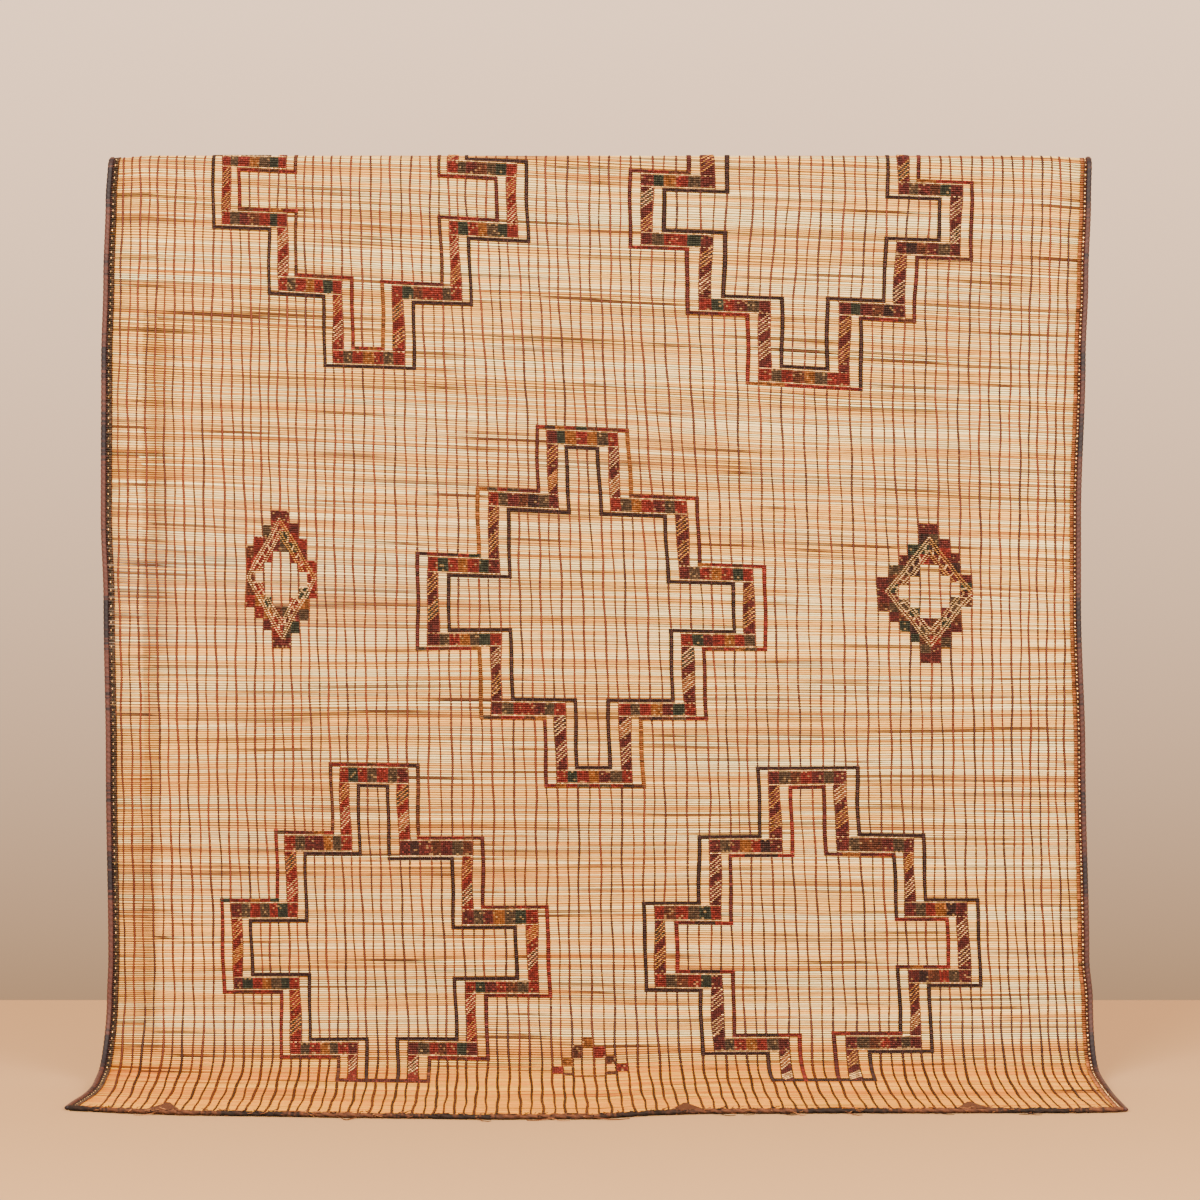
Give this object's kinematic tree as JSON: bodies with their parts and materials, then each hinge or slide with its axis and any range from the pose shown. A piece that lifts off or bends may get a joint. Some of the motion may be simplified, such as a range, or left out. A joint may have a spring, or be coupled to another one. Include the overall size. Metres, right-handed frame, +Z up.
{
  "type": "reed and leather mat",
  "caption": "Large reed mat woven with leather strips and stepped crosses, hung over a bar with its foot swept forward on the floor.",
  "frame": {"origin": "middle of the line on which the fold hangs, on the underside of the fold", "axes": "+Z up, the face towards -Y, +X to the right as seen from the front"},
  "size_m": [2.8465, 0.8131, 2.64],
  "materials": {
    "reed": "dry satin reed, cream to tan",
    "hide": "dull purple-brown leather",
    "thong": "rough dark brown twisted leather"
  },
  "bodies": {
    "root": {"mat": "reed", "side_binding_left": "hide", "side_binding_right": "hide", "end_binding_front": "thong", "end_binding_back": "thong", "patch_left": "hide", "patch_middle": "hide", "patch_right": "hide"}
  },
  "joints": []
}
